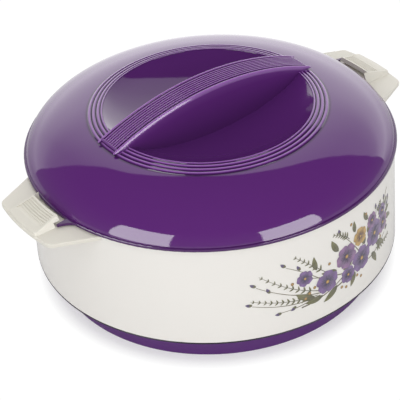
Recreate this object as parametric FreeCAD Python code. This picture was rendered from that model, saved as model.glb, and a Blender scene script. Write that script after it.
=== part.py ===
import FreeCAD, Part
import math
import os

# Insulated casserole for flat breads: a foam-filled double-wall body with a steel bowl, two side
# handles with hooded slots, and a domed lid that turns two lugs under the hoods.
# Millimetres, +Z up. The foot stands on z = 0, the handles point along +X and -X, the front is -Y.

Vec = FreeCAD.Vector

# Clearances
joint_fit = 0.15         # between mouldings that are pushed together
foam_gap = 0.2           # round the foam
running_gap = 0.45       # between the casing's top edge and the lid that turns over it
screw_fit = 0.1          # round a screw's shank
screw_end_gap = 1.0      # hole beyond a screw's point
screw_head_room = 0.5    # round a sunk head
grip_gap = 0.1           # under the grip, where it stands on the cover
seal_gap = 0.1           # over and under the seal
seal_side_gap = 0.3
edge_round = 0.5         # corners of the thin mouldings
flange_round = 0.3
spare = 5.0              # how far a cutting block runs past what it cuts
tiny = 1e-4

# Outer casing
foot_height = 21.2       # floor to the casing's lower edge
casing_height = 72.0
casing_top_radius = 123.4
casing_spread = 1.8      # wider at the bottom
casing_wall = 2.4
casing_edge_round = 1.6  # inside
casing_boss_height = 9.0
collar_seat_width = 1.8
collar_seat_height = 1.4

# Foot
foot_inset = 12.6        # foot's lower edge inside the casing
foot_flare = 1.2
foot_wall = 2.6
foot_flange = 1.1        # thickness of the rim under the casing's lower edge
foot_recess = 3.2        # base plate above the floor
base_plate = 2.4
base_fillet = 1.5
base_screw_count = 4
base_screw_angle = 45.0
base_boss_radius = 4.8
base_boss_margin = 1.5   # from the bosses to the hole in the casing's floor
base_screw_bite = 4.8
plug_radius = 6.0
plug_head_margin = 2.4
plug_head = 1.5

# Steel bowl
insulation_width = 19.4  # casing's outer wall to the bowl's mouth
insulation_depth = 24.4  # base plate to the bowl's floor
bowl_taper = 5.0         # floor narrower than the mouth
bowl_corner = 13.0
bowl_steel = 0.6
bowl_flange = 5.0
bowl_lip_round = 1.6

# Collar between the bowl and the casing
collar_ledge = 2.0       # thickness under the bowl's flange
collar_lip_round = 0.8
flange_sink = 0.7        # bowl's flange below the casing's top edge

# Lid
rim_overhang = 1.6       # lid rim beyond the casing
rim_plate = 2.2
rim_lip = 1.4            # lid rim beyond the dome's edge
rim_upstand = 4.6
rim_upstand_wall = 2.0
dome_centre_radius = 70.0
dome_rise = 27.4
dome_tuck = 3.55         # the dome's curve starts this far above its widest level
cover_wall = 2.5
well_radius = 69.7
well_depth = 14.2
well_spread = 6.3        # the well's oval reaches this far beyond its mouth
ring_rise = 2.1          # well's mouth above the foot of the ring round it
bead_count = 3
bead_width = 2.95
inner_bead_width = 1.75
bead_height = 0.85
liner_steel = 0.6
liner_step = 1.4         # liner's pan inside the bowl's mouth
liner_dip = 5.15         # pan's floor below the liner's flange
liner_bend = 1.6
seal_width = 4.0
seal_lip = 1.6           # width of the seal's lower lip
seal_lip_height = 1.5

# Grip across the well
grip_width = 19.8
grip_rise = 16.6         # crown of the arch above its ends
grip_end_height = 1.2    # end of the arch above the well's mouth
grip_draft = 6.5         # degrees, side walls
grip_wall = 2.4
grip_rib_count = 7
grip_rib_pitch = 2.04
grip_rib_width = 1.45
grip_rib_height = 0.8
grip_edge_bead = 1.8
grip_edge_height = 0.9
grip_inset = 1.4         # grip's ends inside the foot of the ring
grip_tail = 2.4          # edge beads beyond the grip's ends
grip_end = 13.0          # solid length at each end
grip_screw_offset = 42.0
grip_screw_bite = 4.6
grip_boss_radius = 4.2
grip_pad = 0.5           # pads under the well, where they are thinnest

# Side handles
wing_length = 23.2       # handle's outer edge beyond the lid's rim
wing_half_width = 28.3   # at the outer edge
wing_root_half_width = 43.4
wing_plate = 3.0
wing_drop = 0.3          # top of the wing below the casing's top edge
wing_corner = 6.0
wing_edge_round = 0.7
hood_half_width = 17.2   # at the wing
hood_draft = 24.0        # degrees, sides
hood_roof = 3.4          # over the pocket, at the slot
hood_slope = 14.8        # degrees, roof falls outwards
hood_inset = 0.5
hood_corner = 2.5
hood_edge_round = 0.8
slot_gap = 4.6           # hood to lid rim
slot_end_wall = 3.4      # closes the slot at one end
slot_end_gap = 1.2       # that wall to the lid's rim
panel_border = 1.6
panel_depth = 0.6
panel_groove_count = 5
panel_groove_pitch = 1.7
panel_groove_width = 0.8
handle_boss_depth = 8.0
handle_boss_edge = 3.5   # below the screws
handle_boss_half_width = 14.0
handle_screw_offset = 9.0
handle_screw_bite = 5.6

# Locking lugs
lug_reach = 8.2          # beyond the lid's rim
lug_thickness = 1.8
lug_clearance = 0.3      # over and under the lug, inside the hood
lug_end_clearance = 0.6  # beyond the lug's tip
lug_release = 0.5        # released lug to the hood's mouth
lug_spread = 5.7         # degrees, at the root
lug_tip = 0.5            # degrees, at the tip
lug_waist = 2.3          # reach of the fin at the middle of its hollow edge
lug_waist_angle = 2.0    # degrees behind the leading edge
lug_turn = 11.6          # degrees from released to locked
lug_stop_gap = 1.2

# Screws
screw_radius = 1.5
screw_head_radius = 2.9
screw_head_height = 2.0
screw_head_round = 0.9
screw_tip = 1.4
screw_tip_radius = 0.45
cross_width = 0.9
cross_depth = 1.1
cross_reach = 1.8

# Levels
casing_bottom = foot_height
casing_top = casing_bottom + casing_height
casing_floor_top = casing_bottom + casing_wall
collar_top = casing_top
flange_top = collar_top - flange_sink
flange_bottom = flange_top - bowl_steel
collar_bottom = flange_bottom - collar_ledge
base_plate_top = foot_recess + base_plate
base_screw_seat = foot_recess + 0.5 * base_plate
bowl_floor = base_plate_top + insulation_depth
rim_bottom = casing_top + running_gap
rim_top = rim_bottom + rim_plate
dome_level = rim_top - dome_tuck
wing_top = casing_top - wing_drop
wing_bottom = wing_top - wing_plate
lug_bottom = rim_bottom + 0.5 * (rim_plate - lug_thickness)
slot_ceiling = lug_bottom + lug_thickness + lug_clearance
hood_top = slot_ceiling + hood_roof
handle_screw_level = collar_bottom - screw_head_radius - 2 * screw_head_room
handle_boss_bottom = handle_screw_level - handle_boss_edge
liner_floor = rim_top - liner_dip

# Radii
casing_bottom_radius = casing_top_radius + casing_spread
casing_bore = casing_top_radius - casing_wall
collar_seat_radius = casing_bore - collar_seat_width
foot_radius = casing_bottom_radius - foot_inset
foot_bore = foot_radius - foot_wall
base_screw_circle = foot_bore - base_boss_radius
casing_floor_bore = base_screw_circle - base_boss_radius - base_boss_margin
bowl_mouth_radius = casing_top_radius - insulation_width
bowl_floor_radius = bowl_mouth_radius - bowl_taper
bowl_flange_radius = bowl_mouth_radius + bowl_steel + bowl_flange
rim_radius = casing_top_radius + rim_overhang
rim_bore = bowl_flange_radius + foam_gap
cover_edge_radius = rim_radius - rim_lip
liner_pan_radius = bowl_mouth_radius - liner_step
land_radius = well_radius + inner_bead_width + bead_count * bead_width
wing_reach = rim_radius + wing_length
slot_radius = rim_radius + slot_gap
lug_radius = rim_radius + lug_reach
lug_lead_angle = math.degrees(math.asin((hood_half_width + lug_release) / lug_radius))
base_screw_length = casing_bottom - base_screw_seat + base_screw_bite
handle_screw_length = casing_wall + handle_screw_bite

# Dome: an ellipse about a level below the cover's edge. The ring stands on the dome at its foot and
# rises to the mouth of the well, which is the bottom of another ellipse.
dome_reach = (cover_edge_radius - dome_centre_radius) / math.sqrt(1 - (dome_tuck / dome_rise) ** 2)
land_level = dome_level + dome_rise * math.sqrt(1 - ((land_radius - dome_centre_radius) / dome_reach) ** 2)
mouth_level = land_level + ring_rise
well_reach = well_radius + well_spread
well_drop = well_depth / (1 - math.sqrt(1 - (well_radius / well_reach) ** 2))
well_centre = mouth_level - well_depth + well_drop

# Arch of the grip: a circle about a line along Y
grip_half_length = land_radius - grip_inset
grip_arch = (grip_half_length ** 2 + grip_rise ** 2) / (2 * grip_rise)
grip_crest = mouth_level + grip_end_height + grip_rise
grip_arch_level = grip_crest - grip_arch
grip_top = grip_crest - grip_edge_height

# Upstand of the lid's rim, inside the cover's skirt, and the liner's flange inside the upstand
skirt_share = math.sqrt(1 - ((dome_tuck + rim_upstand) / (dome_rise - cover_wall)) ** 2)
upstand_radius = dome_centre_radius + (dome_reach - cover_wall) * skirt_share - joint_fit
upstand_bore = upstand_radius - rim_upstand_wall
liner_flange_radius = upstand_bore - joint_fit


def casing_radius(level):
    # Outer radius of the conical casing at a level
    share = (level - casing_bottom) / casing_height
    return casing_bottom_radius + (casing_top_radius - casing_bottom_radius) * share


def polar(radius, angle, level=0.0):
    turn = math.radians(angle)
    return Vec(radius * math.cos(turn), radius * math.sin(turn), level)


def section(*corners):
    # Closed outline in the XZ plane; a corner is (radius, level) or (radius, level, rounding)
    count = len(corners)
    starts, ends, edges = [], [], []
    for i in range(count):
        here = Vec(corners[i][0], 0, corners[i][1])
        rounding = corners[i][2] if len(corners[i]) > 2 else 0
        if not rounding:
            starts.append(here)
            ends.append(here)
            continue
        before = Vec(corners[i - 1][0], 0, corners[i - 1][1])
        after = Vec(corners[(i + 1) % count][0], 0, corners[(i + 1) % count][1])
        a = (before - here).normalize()
        b = (after - here).normalize()
        half = 0.5 * a.getAngle(b)
        cut = rounding / math.tan(half)
        middle = here + (a + b).normalize() * (rounding / math.sin(half) - rounding)
        starts.append(here + a * cut)
        ends.append(here + b * cut)
        edges.append(Part.Arc(starts[i], middle, ends[i]).toShape())
    for i in range(count):
        j = (i + 1) % count
        if ends[i].distanceToPoint(starts[j]) > 1e-6:
            edges.append(Part.LineSegment(ends[i], starts[j]).toShape())
    return edges


def turned(edges):
    # Full turn of a closed outline about the Z axis
    face = Part.Face(Part.Wire(Part.__sortEdges__(edges)))
    return face.revolve(Vec(0, 0, 0), Vec(0, 0, 1), 360)


def disc(radius, bottom, top, x=0.0, y=0.0):
    return Part.makeCylinder(radius, top - bottom, Vec(x, y, bottom))


def ring(outer, inner, bottom, top):
    return disc(outer, bottom, top).cut(disc(inner, bottom - spare, top + spare))


def block(x0, x1, y0, y1, z0, z1):
    return Part.makeBox(x1 - x0, y1 - y0, z1 - z0, Vec(x0, y0, z0))


def around(shape, count, first=0.0):
    # Copies turned about the Z axis
    copies = []
    for i in range(count):
        copy = shape.copy()
        copy.rotate(Vec(0, 0, 0), Vec(0, 0, 1), first + 360.0 * i / count)
        copies.append(copy)
    return copies


def line(*points):
    return [Part.LineSegment(points[i], points[i + 1]).toShape() for i in range(len(points) - 1)]


def arc(start, middle, end):
    return Part.Arc(start, middle, end).toShape()


def upright_edges(shape, beyond):
    # Vertical edges that lie further out along X than a distance
    boxes = [(e, e.BoundBox) for e in shape.Edges]
    return [e for e, box in boxes if box.XLength < tiny and box.YLength < tiny and box.XMin > beyond]


def screw(length):
    # Pan-head screw: its seat at z = 0, the head below and the shank along +Z
    head = Part.makeCylinder(screw_head_radius, screw_head_height, Vec(0, 0, -screw_head_height))
    crown_edges = [e for e in head.Edges if e.BoundBox.ZMax < -0.5 * screw_head_height]
    head = head.makeFillet(screw_head_round, crown_edges)
    shank = Part.makeCylinder(screw_radius, length - screw_tip)
    tip = Part.makeCone(screw_radius, screw_tip_radius, screw_tip, Vec(0, 0, length - screw_tip))
    solid = head.fuse([shank, tip]).removeSplitter()
    bottom = -screw_head_height
    slot = block(-cross_reach, cross_reach, -0.5 * cross_width, 0.5 * cross_width,
                 bottom - spare, bottom + cross_depth)
    return solid.cut([slot, around(slot, 1, 90)[0]])


# Body

def at_base_screws(shape):
    # Copies of a shape made on the Z axis, at the screws of the base
    copy = shape.copy()
    copy.translate(Vec(base_screw_circle, 0, 0))
    return around(copy, base_screw_count, base_screw_angle)


def outer_casing():
    shell = turned(section(
        (casing_floor_bore, casing_bottom),
        (casing_bottom_radius, casing_bottom, edge_round),
        (casing_top_radius, casing_top, edge_round),
        (casing_bore, casing_top, edge_round),
        (casing_bottom_radius - casing_wall, casing_floor_top, casing_edge_round),
        (casing_floor_bore, casing_floor_top)))
    seat_outer = casing_radius(collar_bottom) - 0.5 * casing_wall
    seat = turned(section(
        (collar_seat_radius, collar_bottom),
        (seat_outer, collar_bottom),
        (seat_outer, collar_bottom - collar_seat_height - collar_seat_width),
        (collar_seat_radius, collar_bottom - collar_seat_height)))
    bosses = at_base_screws(disc(base_boss_radius, casing_bottom, casing_floor_top + casing_boss_height))
    holes = at_base_screws(disc(screw_radius + screw_fit, casing_bottom - spare,
                                base_screw_seat + base_screw_length + screw_end_gap))
    shell = shell.fuse([seat] + bosses)
    return shell.cut(holes + handle_screw_holes() + handle_screw_heads(screw_head_room)).removeSplitter()


def casing_block(extra, bottom, top):
    # Solid with the casing's outer face, moved outwards by a clearance
    lower, upper = casing_radius(bottom) + extra, casing_radius(top) + extra
    return Part.makeCone(lower, upper, top - bottom, Vec(0, 0, bottom))


def at_handle_screws(shape):
    # Copies of a shape made along +X, at both screws of both handles. The heads' outer corners
    # meet the casing's inner wall.
    wall = casing_radius(handle_screw_level + screw_head_radius) - casing_wall
    seat = math.sqrt(wall ** 2 - (handle_screw_offset + screw_head_radius) ** 2)
    copies = []
    for offset in (-handle_screw_offset, handle_screw_offset):
        copy = shape.copy()
        copy.translate(Vec(seat, offset, handle_screw_level))
        copies += around(copy, 2)
    return copies


def handle_screws():
    # Two for each handle, driven outwards from inside the casing
    one = screw(handle_screw_length)
    one.rotate(Vec(0, 0, 0), Vec(0, 1, 0), 90)
    return Part.makeCompound(at_handle_screws(one))


def handle_screw_holes():
    start = Vec(-casing_wall, 0, 0)
    length = casing_wall + handle_screw_length + screw_end_gap
    return at_handle_screws(Part.makeCylinder(screw_radius + screw_fit, length, start, Vec(1, 0, 0)))


def handle_screw_heads(room):
    # Space for the heads, with room round them
    depth = screw_head_height + room
    head = Part.makeCylinder(screw_head_radius + room, depth, Vec(-depth, 0, 0), Vec(1, 0, 0))
    return at_handle_screws(head)


def wing():
    # Flat plate of a handle, narrower outwards, with its root inside the casing's wall
    root_x = math.sqrt(casing_top_radius ** 2 - wing_root_half_width ** 2)
    root = Vec(root_x, wing_root_half_width, 0)
    tip = Vec(wing_reach, wing_half_width, 0)
    inner = root + (root - tip) * 0.1
    outer = tip + (tip - root) * 0.1
    plan = [Vec(inner.x, -inner.y, 0), Vec(outer.x, -outer.y, 0), outer, inner]
    plate = Part.Face(Part.makePolygon(plan + plan[:1])).extrude(Vec(0, 0, wing_plate))
    plate.translate(Vec(0, 0, wing_bottom))
    plate = plate.common(disc(wing_reach, wing_bottom, wing_top))
    plate = plate.makeFillet(wing_corner, upright_edges(plate, rim_radius))
    boxes = [(e, e.BoundBox) for e in plate.Edges]
    flat = [e for e, box in boxes if box.ZLength < tiny and box.XMax > inner.x + tiny]
    return plate.makeFillet(wing_edge_round, flat)


def roof_level(x):
    return hood_top - (x - slot_radius) * math.tan(math.radians(hood_slope))


def roof_block(sink):
    # Space above the hood's roof, or above a face sunk under it
    space = block(-wing_reach, wing_reach, -wing_reach, wing_reach, 0, wing_reach)
    space.rotate(Vec(0, 0, 0), Vec(0, 1, 0), hood_slope)
    space.translate(Vec(slot_radius, 0, hood_top - sink))
    return space


def hood_block(inset):
    # Bar along X with the hood's drafted sides, moved inwards by an inset
    base = hood_half_width - inset
    high = hood_top + spare
    crest = base - (high - wing_top) * math.tan(math.radians(hood_draft))
    x = casing_bore
    corners = [Vec(x, -base, wing_top), Vec(x, base, wing_top), Vec(x, crest, high), Vec(x, -crest, high)]
    return Part.Face(Part.makePolygon(corners + corners[:1])).extrude(Vec(wing_reach - x, 0, 0))


def panel_recess():
    # Grooves in the roof that follow the lid's rim, and a sunk field beyond them
    low, high = slot_ceiling, hood_top + spare
    start = slot_radius + panel_border
    recess = []
    for i in range(panel_groove_count):
        recess.append(ring(start + panel_groove_width, start, low, high))
        start += panel_groove_pitch
    recess.append(ring(wing_reach - hood_inset - panel_border, start, low, high))
    field = hood_block(panel_border).common(roof_block(panel_depth))
    return [field.common(band) for band in recess]


def hood():
    # Roofed block on the wing. The slot along the lid's rim and the pocket for the lug are open at
    # the hood's +Y end. A wall closes the slot at the other end, and the pocket ends just past the
    # locked lug.
    high = hood_top + spare
    body = hood_block(0).common(disc(wing_reach - hood_inset, wing_top, high))
    body = body.makeFillet(hood_corner, [e for e in body.Edges if e.BoundBox.XMin > rim_radius
                                         and e.BoundBox.ZLength > spare])
    body = body.cut(roof_block(0))
    crest = [e for e in body.Edges if e.BoundBox.XMax > slot_radius
             and all(abs(v.Z - roof_level(v.X)) < tiny for v in e.Vertexes)]
    body = body.makeFillet(hood_edge_round, crest)
    slot_start = slot_end_wall - hood_half_width
    slot = disc(slot_radius, wing_top, high).common(
        block(0, slot_radius, slot_start, hood_half_width + spare, wing_top, high))
    relief = disc(rim_radius + slot_end_gap, wing_top, high)
    stop = lug_radius * math.sin(math.radians(lug_lead_angle - lug_turn)) - lug_stop_gap
    pocket = disc(lug_radius + lug_end_clearance, wing_top, slot_ceiling)
    pocket = pocket.common(block(0, wing_reach, stop, hood_half_width + spare, wing_top, slot_ceiling))
    return body.cut(panel_recess() + [slot, relief, pocket])


def handle():
    # The right handle: wing, hood and a boss block for its screws, cut to the casing
    boss = block(casing_bore, rim_radius + handle_boss_depth,
                 -handle_boss_half_width, handle_boss_half_width, handle_boss_bottom, wing_bottom)
    boss = boss.makeFillet(hood_corner, upright_edges(boss, rim_radius))
    body = wing().fuse([boss, hood()]).removeSplitter()
    body = body.cut(casing_block(joint_fit, handle_boss_bottom - spare, casing_top))
    return body.cut(handle_screw_holes())


def top_collar():
    bore = bowl_mouth_radius + bowl_steel + joint_fit
    ledge = bowl_flange_radius + joint_fit
    outer = casing_bore - joint_fit
    return turned(section(
        (bore, collar_bottom),
        (outer, collar_bottom),
        (outer, collar_top, edge_round),
        (ledge, collar_top, edge_round),
        (ledge, flange_bottom),
        (bore, flange_bottom, collar_lip_round)))


def inner_bowl():
    return turned(section(
        (0, bowl_floor),
        (bowl_floor_radius, bowl_floor, bowl_corner),
        (bowl_mouth_radius, flange_top, bowl_lip_round),
        (bowl_flange_radius, flange_top),
        (bowl_flange_radius, flange_bottom),
        (bowl_mouth_radius + bowl_steel, flange_bottom, bowl_lip_round - bowl_steel),
        (bowl_floor_radius + bowl_steel, bowl_floor - bowl_steel, bowl_corner + bowl_steel),
        (0, bowl_floor - bowl_steel)))


def body_insulation():
    wall = casing_wall + foam_gap
    floor = casing_floor_top + foam_gap
    seat_top = collar_bottom - collar_seat_height - foam_gap
    seat_bottom = seat_top - collar_seat_width
    steel = bowl_steel + foam_gap
    foam = turned(section(
        (0, base_plate_top + foam_gap),
        (casing_floor_bore - foam_gap, base_plate_top + foam_gap),
        (casing_floor_bore - foam_gap, floor),
        (casing_bottom_radius - wall, floor, casing_edge_round),
        (casing_radius(seat_bottom) - wall, seat_bottom),
        (collar_seat_radius - foam_gap, seat_top),
        (collar_seat_radius - foam_gap, collar_bottom - foam_gap),
        (bowl_mouth_radius + steel, collar_bottom - foam_gap),
        (bowl_floor_radius + steel, bowl_floor - steel, bowl_corner + steel),
        (0, bowl_floor - steel)))
    bosses = at_base_screws(disc(base_boss_radius + foam_gap, casing_bottom,
                                 casing_floor_top + casing_boss_height + foam_gap))
    return foam.cut(bosses + handle_screw_heads(2 * screw_head_room) + handle_screw_holes())


def base_cover():
    # Foot ring and base plate in one moulding, with bosses up to the casing's floor
    foot = turned(section(
        (0, foot_recess),
        (foot_bore, foot_recess),
        (foot_bore, 0, edge_round),
        (foot_radius, 0, edge_round),
        (foot_radius + foot_flare, casing_bottom - foot_flange),
        (casing_bottom_radius, casing_bottom - foot_flange, flange_round),
        (casing_bottom_radius, casing_bottom, flange_round),
        (foot_bore + foot_flare, casing_bottom),
        (foot_bore, base_plate_top, base_fillet),
        (0, base_plate_top)))
    bosses = at_base_screws(disc(base_boss_radius, foot_recess, casing_bottom))
    heads = at_base_screws(disc(screw_head_radius + screw_head_room, -spare, base_screw_seat))
    holes = at_base_screws(disc(screw_radius + screw_fit, 0, casing_bottom + spare))
    fill = disc(plug_radius + joint_fit, -spare, base_plate_top + spare)
    return foot.fuse(bosses).cut(heads + holes + [fill]).removeSplitter()


def base_screws():
    one = screw(base_screw_length)
    one.translate(Vec(0, 0, base_screw_seat))
    return Part.makeCompound(at_base_screws(one))


def fill_plug():
    # Closes the hole through which the foam is poured
    head_radius = plug_radius + plug_head_margin
    return turned(section(
        (0, foot_recess - plug_head),
        (head_radius, foot_recess - plug_head, edge_round),
        (head_radius, foot_recess),
        (plug_radius, foot_recess),
        (plug_radius, base_plate_top, edge_round),
        (0, base_plate_top)))


# Lid

def well_level(radius, depth=0.0):
    # Level of the well's skin at a radius, or of a parallel face at a depth under it
    return well_centre - (well_drop + depth) * math.sqrt(1 - (radius / (well_reach + depth)) ** 2)


def well_arc(depth, level):
    # The well's section at a depth under its skin, from a level on its side to the axis
    reach, drop = well_reach + depth, well_drop + depth
    centre = Vec(0, 0, well_centre)
    oval = Part.Ellipse(centre + Vec(reach, 0, 0), centre + Vec(0, 0, drop), centre)
    low = math.asin((well_centre - level) / drop)
    side = Part.ArcOfEllipse(oval, 1.5 * math.pi, 2 * math.pi - low).toBSpline()
    return side.toShape(), reach * math.cos(low)


def well_space(depth):
    # Everything over the well's skin, or over a parallel face at a depth under it
    well, mouth = well_arc(depth, mouth_level)
    return turned([well] + line(Vec(mouth, 0, mouth_level), Vec(0, 0, mouth_level),
                                Vec(0, 0, well_level(0, depth))))


def crown(depth):
    # The cover's curve at a depth under its skin, from the rim to the axis, and its two ends
    reach, rise = dome_reach - depth, dome_rise - depth
    centre = Vec(dome_centre_radius, 0, dome_level)
    oval = Part.Ellipse(centre + Vec(reach, 0, 0), centre + Vec(0, 0, rise), centre)
    low = math.asin(dome_tuck / rise)
    high = math.asin((land_level - depth - dome_level) / rise)
    start = centre + Vec(reach * math.cos(low), 0, rise * math.sin(low))
    end = centre + Vec(reach * math.cos(high), 0, rise * math.sin(high))
    well, mouth = well_arc(depth, mouth_level - depth)
    edges = [Part.ArcOfEllipse(oval, low, high).toShape(), well]
    if depth:
        edges += line(end, Vec(mouth, 0, mouth_level - depth))
    else:
        edges += beads()
    return edges, start, Vec(0, 0, well_level(0, depth))


def ring_point(radius, height=0.0):
    # Point over the slope of the ring, between its foot and the well's mouth
    share = (land_radius - radius) / (land_radius - well_radius)
    return Vec(radius, 0, land_level + ring_rise * share + height)


def beads():
    # Raised rings round the well, the narrow one at its mouth
    edges = []
    outside = land_radius
    for width in [bead_width] * bead_count + [inner_bead_width]:
        crest = ring_point(outside - 0.5 * width, bead_height)
        edges.append(arc(ring_point(outside), crest, ring_point(outside - width)))
        outside -= width
    return edges


def at_grip_screws(bottom, top, radius):
    return around(disc(radius, bottom, top, grip_screw_offset), 2)


def grip_screw_seat():
    # Lower face of the pads under the well
    return well_level(grip_screw_offset - grip_boss_radius, cover_wall) - grip_pad


def grip_screw_length():
    return well_level(grip_screw_offset) - grip_screw_seat() + grip_screw_bite


def grip_screw_holes():
    seat = grip_screw_seat()
    return at_grip_screws(seat - spare, seat + grip_screw_length() + screw_end_gap, screw_radius + screw_fit)


def lid_cover():
    outer, outer_start, outer_end = crown(0)
    inner, inner_start, inner_end = crown(cover_wall)
    shell = turned(outer + inner + line(outer_start, inner_start) + line(outer_end, inner_end))
    space = well_space(0.5 * cover_wall)
    pads = [pad.cut(space) for pad in at_grip_screws(grip_screw_seat(), land_level, grip_boss_radius)]
    return shell.fuse(pads).cut(grip_screw_holes()).removeSplitter()


def grip_screws():
    one = screw(grip_screw_length())
    one.translate(Vec(grip_screw_offset, 0, grip_screw_seat()))
    return Part.makeCompound(around(one, 2))


def arch_angle(half_length):
    return math.degrees(math.asin(half_length / grip_arch))


def arch_sweep(outline, half_length):
    # Turns an outline given in the YZ plane about the arch's line, to both sides
    angle = arch_angle(half_length)
    face = Part.Face(Part.Wire(Part.__sortEdges__(outline)))
    centre = Vec(0, 0, grip_arch_level)
    face.rotate(centre, Vec(0, 1, 0), -angle)
    return face.revolve(centre, Vec(0, 1, 0), 2 * angle)


def grip_bar(half, top, half_length):
    # Bar with a flat top and drafted sides that runs down past the well's floor
    depth = top - well_level(0) + spare
    base = half + depth * math.tan(math.radians(grip_draft))
    corners = [Vec(0, -base, top - depth), Vec(0, -half, top), Vec(0, half, top), Vec(0, base, top - depth)]
    return arch_sweep(line(*(corners + corners[:1])), half_length)


def ridge(middle, width, height, half_length):
    # Rounded ridge on the bar's top, along the arch
    start, end = middle - 0.5 * width, middle + 0.5 * width
    low = grip_top - height
    outline = line(Vec(0, start, grip_top), Vec(0, start, low), Vec(0, end, low), Vec(0, end, grip_top))
    outline.append(arc(Vec(0, start, grip_top), Vec(0, middle, grip_top + height), Vec(0, end, grip_top)))
    return arch_sweep(outline, half_length)


def end_bead(side):
    # Bead across one end of the bar
    half = 0.5 * (grip_width - grip_edge_bead)
    bead = Part.makeCylinder(grip_edge_height, 2 * half, Vec(0, -half, grip_top), Vec(0, 1, 0))
    angle = arch_angle(grip_half_length - grip_edge_height)
    bead.rotate(Vec(0, 0, grip_arch_level), Vec(0, 1, 0), side * angle)
    return bead


def grip_trim():
    # Ribs along the top, with a bead round its edge
    trim = [end_bead(-1), end_bead(1)]
    for i in range(grip_rib_count):
        middle = (i - 0.5 * (grip_rib_count - 1)) * grip_rib_pitch
        trim.append(ridge(middle, grip_rib_width, grip_rib_height, grip_half_length))
    for side in (-1, 1):
        middle = side * 0.5 * (grip_width - grip_edge_bead)
        trim.append(ridge(middle, grip_edge_bead, grip_edge_height, grip_half_length + grip_tail))
    return trim


def lid_grip():
    # Arched bar, hollow from below, with two bosses for its screws
    half = 0.5 * grip_width
    body = grip_bar(half, grip_top, grip_half_length).fuse(grip_trim())
    pocket = grip_bar(half - grip_wall, grip_top - grip_wall, grip_half_length - grip_end)
    pocket = pocket.cut(at_grip_screws(well_level(0) - spare, grip_crest, grip_boss_radius))
    return body.cut(pocket).cut([crown_block(grip_gap)] + grip_screw_holes()).removeSplitter()


def crown_block(gap):
    # Everything under the cover's skin, raised by a gap, with the ring's beads taken as one slope
    skirt = land_level + gap
    beyond = land_radius + 2 * grip_tail
    well, mouth = well_arc(-gap, mouth_level)
    edges = line(Vec(mouth, 0, mouth_level), ring_point(mouth, bead_height + gap),
                 ring_point(land_radius, bead_height + gap), Vec(land_radius, 0, skirt),
                 Vec(beyond, 0, skirt), Vec(beyond, 0, casing_bottom),
                 Vec(0, 0, casing_bottom), Vec(0, 0, well_level(0, -gap)))
    return turned(edges + [well])


def lid_rim_ring():
    # Rim that clamps the liner to the cover, with the two lugs
    rim = turned(section(
        (rim_bore, rim_bottom, edge_round),
        (rim_radius, rim_bottom, edge_round),
        (rim_radius, rim_top, edge_round),
        (upstand_radius, rim_top),
        (upstand_radius, rim_top + rim_upstand, edge_round),
        (upstand_bore, rim_top + rim_upstand, edge_round),
        (upstand_bore, rim_top),
        (rim_bore, rim_top)))
    return rim.fuse(around(lug(), 2)).removeSplitter()


def lug():
    # Swept fin: a straight leading edge and a hollow trailing edge
    root = rim_radius - rim_lip
    lead_foot = polar(root, lug_lead_angle)
    lead_tip = polar(lug_radius, lug_lead_angle)
    back_tip = polar(lug_radius, lug_lead_angle + lug_tip)
    waist = polar(rim_radius + lug_waist, lug_lead_angle + lug_waist_angle)
    trail = polar(root, lug_lead_angle + lug_spread)
    edges = line(back_tip, lead_tip, lead_foot, trail) + [arc(trail, waist, back_tip)]
    fin = Part.Face(Part.Wire(Part.__sortEdges__(edges))).extrude(Vec(0, 0, lug_thickness))
    fin.translate(Vec(0, 0, lug_bottom))
    return fin


def lid_liner():
    inside = liner_pan_radius - liner_steel
    return turned(section(
        (0, liner_floor),
        (liner_pan_radius, liner_floor, liner_bend + liner_steel),
        (liner_pan_radius, rim_top, liner_bend),
        (liner_flange_radius, rim_top),
        (liner_flange_radius, rim_top + liner_steel),
        (inside, rim_top + liner_steel, liner_bend + liner_steel),
        (inside, liner_floor + liner_steel, liner_bend),
        (0, liner_floor + liner_steel)))


def lid_seal():
    # Ring between the liner's flange and the bowl's flange, with a soft lip below
    outer = rim_bore - seal_side_gap
    inner = outer - seal_width
    top = rim_top - seal_gap
    bottom = flange_top + seal_gap
    lip = 0.5 * (seal_width - seal_lip)
    return turned(section(
        (inner, top, edge_round),
        (outer, top, edge_round),
        (outer, bottom + seal_lip_height, edge_round),
        (outer - lip, bottom, edge_round),
        (inner + lip, bottom, edge_round),
        (inner, bottom + seal_lip_height, edge_round)))


def lid_insulation():
    top, top_start, top_end = crown(cover_wall + foam_gap)
    floor = liner_floor + liner_steel + foam_gap
    shelf = rim_top + liner_steel + foam_gap
    pan = liner_pan_radius - liner_steel - foam_gap
    foam = turned(top + line(top_start, Vec(pan, 0, top_start.z), Vec(pan, 0, floor + liner_bend),
                             Vec(pan - liner_bend, 0, floor), Vec(0, 0, floor), top_end))
    outside = top_start.x + spare
    shoulder = ring(outside, upstand_bore - foam_gap, dome_level, rim_top + rim_upstand + foam_gap)
    under = ring(outside, pan, dome_level, shelf)
    seat = grip_screw_seat() - screw_head_height - foam_gap
    screws = at_grip_screws(seat, land_level, grip_boss_radius + foam_gap)
    return foam.cut([shoulder, under] + screws).removeSplitter()


right = handle()
pieces = {
    "outer_casing": outer_casing(),
    "handle_right": right,
    "handle_left": around(right, 1, 180)[0],
    "handle_screws": handle_screws(),
    "top_collar": top_collar(),
    "inner_bowl": inner_bowl(),
    "body_insulation": body_insulation(),
    "base_cover": base_cover(),
    "base_screws": base_screws(),
    "fill_plug": fill_plug(),
    "lid_cover": lid_cover(),
    "lid_grip": lid_grip(),
    "grip_screws": grip_screws(),
    "lid_rim_ring": lid_rim_ring(),
    "lid_liner": lid_liner(),
    "lid_insulation": lid_insulation(),
    "lid_seal": lid_seal(),
}

os.makedirs("parts", exist_ok=True)
for name, shape in pieces.items():
    shape.exportStep("parts/" + name + ".step")
    print(name, "solids", len(shape.Solids), "volume", round(shape.Volume), "valid", shape.isValid())
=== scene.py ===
import math

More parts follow.
